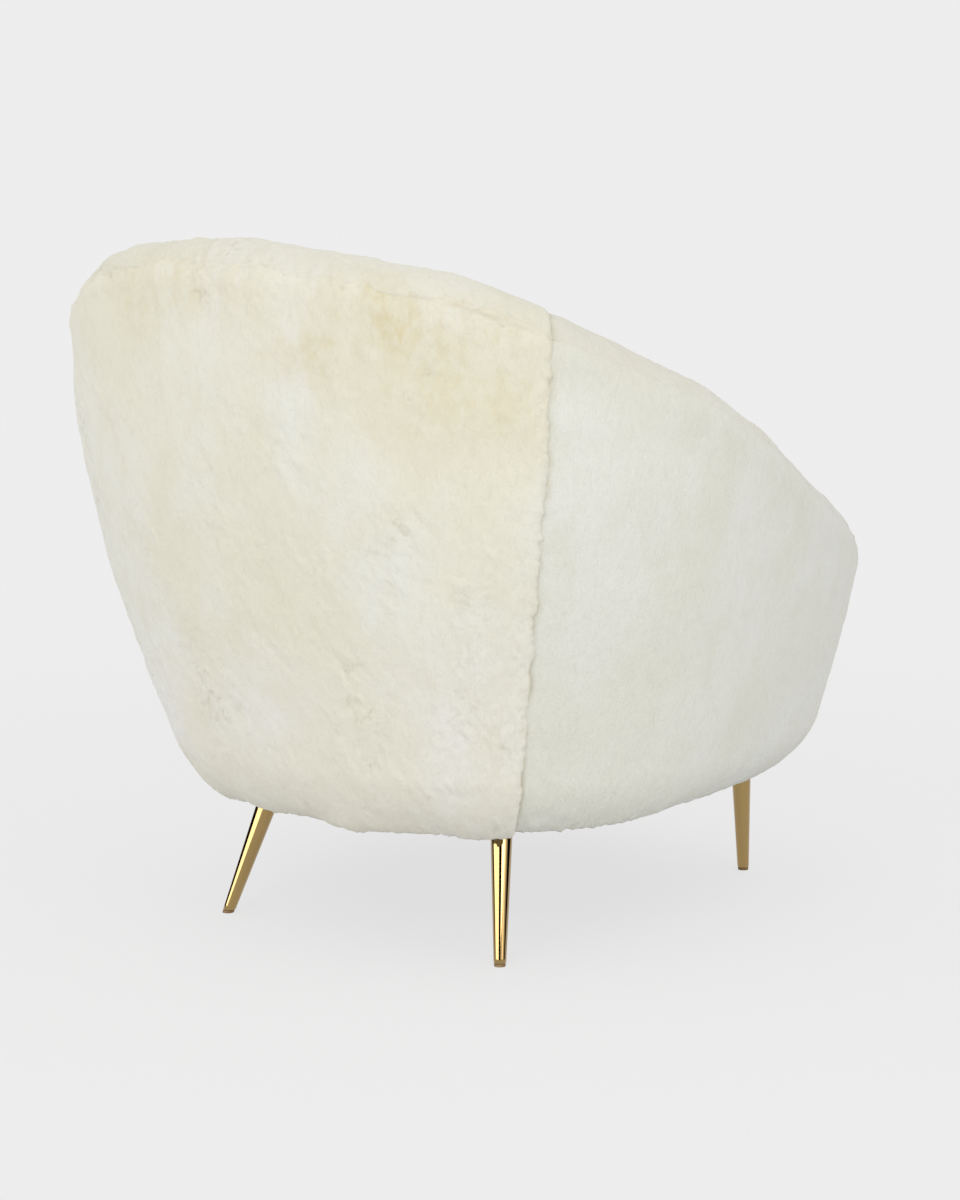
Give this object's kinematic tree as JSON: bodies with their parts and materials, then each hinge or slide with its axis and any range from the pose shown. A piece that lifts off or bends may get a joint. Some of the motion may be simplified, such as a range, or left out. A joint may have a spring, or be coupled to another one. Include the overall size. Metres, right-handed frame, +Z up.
{
  "type": "tub lounge chair",
  "caption": "Upholstered tub lounge chair with a high curved back, arms that sweep down to the front, a loose seat cushion and slim tapered brass legs.",
  "frame": {"origin": "on the floor, under the middle of the chair's bounding box", "axes": "+Z up; the chair faces -Y, so +Y points out of its back and +X is the sitter's left"},
  "size_m": [0.845, 0.8502, 0.7917],
  "materials": {
    "hide_back": "matte",
    "hide_side": "matte",
    "foam": "matte",
    "timber": "matte",
    "webbing": "matte",
    "lining": "matte",
    "brass": "polished",
    "steel": "satin",
    "glide_plastic": "matte"
  },
  "bodies": {
    "chair_frame": {"outer_left_cover": "hide_side", "outer_back_cover": "hide_back", "outer_right_cover": "hide_side", "inner_left_cover": "hide_back", "inner_back_cover": "hide_back", "inner_right_cover": "hide_back", "front_border_cover": "hide_side", "front_edge_foam": "foam", "left_arm_foam": "foam", "back_foam": "foam", "right_arm_foam": "foam", "left_arm_front_pad": "foam", "right_arm_front_pad": "foam", "left_arm_top_rail": "timber", "back_top_rail": "timber", "right_arm_top_rail": "timber", "left_arm_front_post": "timber", "left_arm_post": "timber", "left_back_post": "timber", "centre_back_post": "timber", "right_back_post": "timber", "right_arm_post": "timber", "right_arm_front_post": "timber", "front_seat_rail": "timber", "left_seat_rail": "timber", "back_seat_rail": "timber", "right_seat_rail": "timber", "rear_left_corner_block": "timber", "rear_right_corner_block": "timber", "front_left_corner_block": "timber", "front_right_corner_block": "timber", "rear_left_leg": "brass", "rear_right_leg": "brass", "front_left_leg": "brass", "front_right_leg": "brass", "rear_left_foot_glide": "glide_plastic", "rear_right_foot_glide": "glide_plastic", "front_left_foot_glide": "glide_plastic", "front_right_foot_glide": "glide_plastic", "rear_left_leg_stud": "steel", "rear_right_leg_stud": "steel", "front_left_leg_stud": "steel", "front_right_leg_stud": "steel", "rear_left_tee_nut": "steel", "rear_right_tee_nut": "steel", "front_left_tee_nut": "steel", "front_right_tee_nut": "steel", "seat_web_1": "webbing", "seat_web_2": "webbing", "seat_web_3": "webbing", "seat_web_4": "webbing", "seat_web_5": "webbing", "seat_web_6": "webbing", "seat_deck_foam": "foam", "seat_deck_cloth": "lining", "dust_cover": "lining"},
    "seat_cushion": {"cushion_cover": "hide_back", "cushion_core": "foam", "cushion_zip": "lining"}
  },
  "joints": [
    {"name": "cushion_lift", "type": "slide", "parent": "chair_frame", "child": "seat_cushion", "axis": [0, 0, 1], "range_m": [0, 0.35]}
  ]
}
